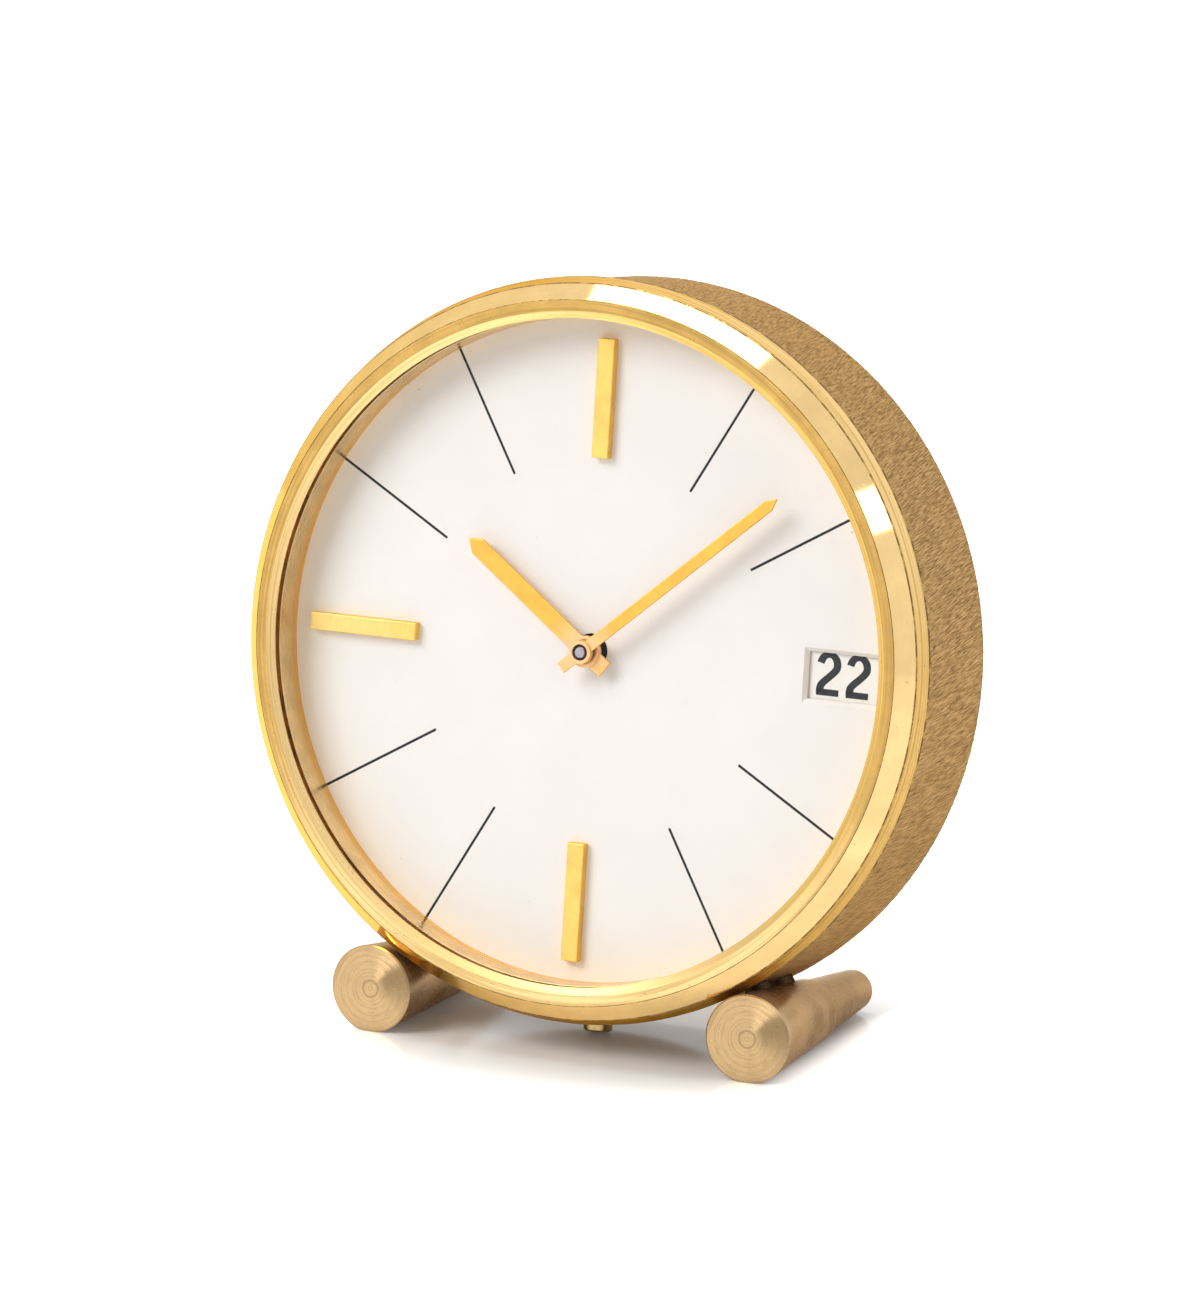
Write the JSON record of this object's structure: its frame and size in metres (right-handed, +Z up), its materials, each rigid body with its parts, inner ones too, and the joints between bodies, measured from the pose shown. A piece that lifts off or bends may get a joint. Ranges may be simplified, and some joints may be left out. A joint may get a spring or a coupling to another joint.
{
  "type": "desk clock",
  "caption": "Round brass desk clock leaning back on two tapered feet, with a plain dial, baton hands, a date window and a wound movement set from behind.",
  "frame": {"origin": "on the floor, under the middle of the clock's overall box", "axes": "+Z up, -Y towards the viewer of the dial, +X to the viewer's right"},
  "size_m": [0.125, 0.0526, 0.129],
  "materials": {
    "polished_brass": "polished and lightly aged",
    "satin_brass": "turned and brushed, with age stains",
    "drum_brass": "dense short brushed strokes",
    "gilt": "matt gilt",
    "movement_brass": "fine grained",
    "dial_enamel": "matt off-white lacquer with thin black hour lines",
    "date_print": "white lacquer with plain printed day numbers",
    "steel": "fine ground",
    "spring_steel": "blued",
    "dark_steel": "blackened",
    "clear_glass": "clear"
  },
  "bodies": {
    "case": {"bezel_ring": "polished_brass", "crystal": "clear_glass", "inner_ring": "satin_brass", "case_drum": "drum_brass", "rear_cover": "satin_brass", "rear_cover_screws": "steel", "foot_right": "satin_brass", "foot_left": "satin_brass", "foot_screws": "steel", "dial_plate": "dial_enamel", "hour_markers": "gilt", "dial_bush": "dark_steel", "dial_spacer_ring": "movement_brass", "calendar_plate": "movement_brass", "seat_screws": "steel", "date_studs": "steel", "date_jumper_spring": "spring_steel", "pusher_tube": "movement_brass", "pusher_spring": "spring_steel", "minute_wheel_stud": "steel", "front_plate": "movement_brass", "back_plate": "movement_brass", "plate_pillars": "movement_brass", "plate_screws": "steel", "movement_posts": "movement_brass", "movement_post_screws": "steel", "click_stud": "steel", "click_spring": "spring_steel", "hairspring": "spring_steel", "balance_cock": "movement_brass", "balance_cock_screws": "steel"},
    "minute_hand": {"minute_hand": "gilt", "cannon_pinion": "steel"},
    "hour_hand": {"hour_hand": "gilt", "hour_wheel": "movement_brass", "date_drive_pinion": "movement_brass"},
    "minute_wheel": {"minute_wheel": "movement_brass"},
    "setting_knob": {"setting_arbor": "steel", "setting_knob": "satin_brass"},
    "date_idler": {"date_idler_wheel": "movement_brass"},
    "date_wheel": {"date_wheel": "movement_brass"},
    "date_ring": {"date_ring": "date_print"},
    "date_jumper": {"date_jumper": "steel"},
    "date_pusher": {"date_pusher": "polished_brass", "pusher_clip": "steel"},
    "corrector_lever": {"corrector_lever": "steel"},
    "barrel": {"mainspring_barrel": "movement_brass", "barrel_cover": "movement_brass", "mainspring": "spring_steel"},
    "winding_key": {"barrel_arbor": "steel", "ratchet_wheel": "steel", "winding_key": "satin_brass"},
    "click": {"click": "steel"},
    "intermediate_wheel": {"intermediate_wheel": "movement_brass"},
    "centre_wheel": {"centre_wheel": "movement_brass"},
    "third_wheel": {"third_wheel": "movement_brass"},
    "fourth_wheel": {"fourth_wheel": "movement_brass"},
    "escape_wheel": {"escape_wheel": "steel"},
    "pallet_lever": {"pallet_lever": "steel"},
    "balance_wheel": {"balance_wheel": "movement_brass"}
  },
  "joints": [
    {"name": "minute_hand_turn", "type": "hinge", "parent": "case", "child": "minute_hand", "pos_m": [0, -0.00958, 0.06679], "axis": [0, 0.9903, -0.1392], "continuous": true},
    {"name": "hour_hand_turn", "type": "hinge", "parent": "case", "child": "hour_hand", "pos_m": [0, -0.00958, 0.06679], "axis": [0, 0.9903, -0.1392], "continuous": true},
    {"name": "minute_wheel_turn", "type": "hinge", "parent": "case", "child": "minute_wheel", "pos_m": [-0.001, -0.00424, 0.05883], "axis": [0, 0.9903, -0.1392], "continuous": true},
    {"name": "setting_knob_turn", "type": "hinge", "parent": "case", "child": "setting_knob", "pos_m": [-0.002, 0.00963, 0.04969], "axis": [0, 0.9903, -0.1392], "continuous": true},
    {"name": "date_idler_turn", "type": "hinge", "parent": "case", "child": "date_idler", "pos_m": [-0.00643, -0.00867, 0.05892], "axis": [0, 0.9903, -0.1392], "continuous": true},
    {"name": "date_wheel_turn", "type": "hinge", "parent": "case", "child": "date_wheel", "pos_m": [-0.01543, -0.01016, 0.0483], "axis": [0, 0.9903, -0.1392], "continuous": true},
    {"name": "date_ring_turn", "type": "hinge", "parent": "case", "child": "date_ring", "pos_m": [0, -0.0076, 0.06651], "axis": [0, 0.9903, -0.1392], "continuous": true},
    {"name": "date_jumper_lift", "type": "hinge", "parent": "case", "child": "date_jumper", "pos_m": [-0.00279, -0.00316, 0.09808], "axis": [0, -0.9903, 0.1392], "range_deg": [0, 5], "stiffness_Nm_per_rad": 0.001, "springref_deg": -2.86, "deforming": ["date_jumper_spring"]},
    {"name": "third_wheel_turn", "type": "hinge", "parent": "case", "child": "third_wheel", "pos_m": [0.00955, -0.00142, 0.056], "axis": [0, 0.9903, -0.1392], "continuous": true},
    {"name": "centre_wheel_turn", "type": "hinge", "parent": "case", "child": "centre_wheel", "pos_m": [0, -0.00169, 0.06568], "axis": [0, 0.9903, -0.1392], "continuous": true},
    {"name": "intermediate_wheel_turn", "type": "hinge", "parent": "case", "child": "intermediate_wheel", "pos_m": [-0.01268, -0.00172, 0.05968], "axis": [0, 0.9903, -0.1392], "continuous": true},
    {"name": "barrel_turn", "type": "hinge", "parent": "case", "child": "barrel", "pos_m": [-0.01439, 0.00192, 0.0797], "axis": [0, 0.9903, -0.1392], "continuous": true},
    {"name": "fourth_wheel_turn", "type": "hinge", "parent": "case", "child": "fourth_wheel", "pos_m": [0.01507, 0.00108, 0.06531], "axis": [0, 0.9903, -0.1392], "continuous": true},
    {"name": "escape_wheel_turn", "type": "hinge", "parent": "case", "child": "escape_wheel", "pos_m": [0.01674, 0.00356, 0.07453], "axis": [0, 0.9903, -0.1392], "continuous": true},
    {"name": "pallet_lever_rock", "type": "hinge", "parent": "case", "child": "pallet_lever", "pos_m": [0.01766, 0.00429, 0.0797], "axis": [0, 0.9903, -0.1392], "range_deg": [-5, 5]},
    {"name": "balance_swing", "type": "hinge", "parent": "case", "child": "balance_wheel", "pos_m": [0.01909, 0.00658, 0.08754], "axis": [0, 0.9903, -0.1392], "range_deg": [-150, 150], "stiffness_Nm_per_rad": 0.00000387},
    {"name": "winding_key_turn", "type": "hinge", "parent": "case", "child": "winding_key", "pos_m": [-0.01439, 0.01361, 0.07806], "axis": [0, 0.9903, -0.1392], "continuous": true},
    {"name": "click_lift", "type": "hinge", "parent": "case", "child": "click", "pos_m": [-0.00964, 0.00955, 0.07032], "axis": [0, 0.9903, -0.1392], "range_deg": [0, 8], "stiffness_Nm_per_rad": 0.001, "springref_deg": -2.86, "deforming": ["click_spring"]},
    {"name": "date_pusher_press", "type": "slide", "parent": "case", "child": "date_pusher", "axis": [0, 0.1392, 0.9903], "range_m": [0, 0.0018], "stiffness_N_per_m": 300, "springref_m": -0.003, "deforming": ["pusher_spring"]},
    {"name": "corrector_lever_swing", "type": "hinge", "parent": "case", "child": "corrector_lever", "pos_m": [0.012, -0.013, 0.0191], "axis": [0, 0.9903, -0.1392], "range_deg": [0, 8.64]}
  ],
  "couplings": [
    {"joint": "hour_hand_turn", "follows": "minute_hand_turn", "ratio": 0.083333},
    {"joint": "minute_wheel_turn", "follows": "minute_hand_turn", "ratio": -0.33333},
    {"joint": "setting_knob_turn", "follows": "minute_hand_turn", "ratio": 1},
    {"joint": "date_idler_turn", "follows": "minute_hand_turn", "ratio": -0.055556},
    {"joint": "date_wheel_turn", "follows": "minute_hand_turn", "ratio": 0.041667},
    {"joint": "centre_wheel_turn", "follows": "third_wheel_turn", "ratio": -0.125},
    {"joint": "intermediate_wheel_turn", "follows": "third_wheel_turn", "ratio": 0.03125},
    {"joint": "barrel_turn", "follows": "third_wheel_turn", "ratio": -0.0041667},
    {"joint": "fourth_wheel_turn", "follows": "third_wheel_turn", "ratio": -7.5},
    {"joint": "escape_wheel_turn", "follows": "third_wheel_turn", "ratio": 75},
    {"joint": "corrector_lever_swing", "follows": "date_pusher_press", "rad_per_m": 83.333}
  ]
}
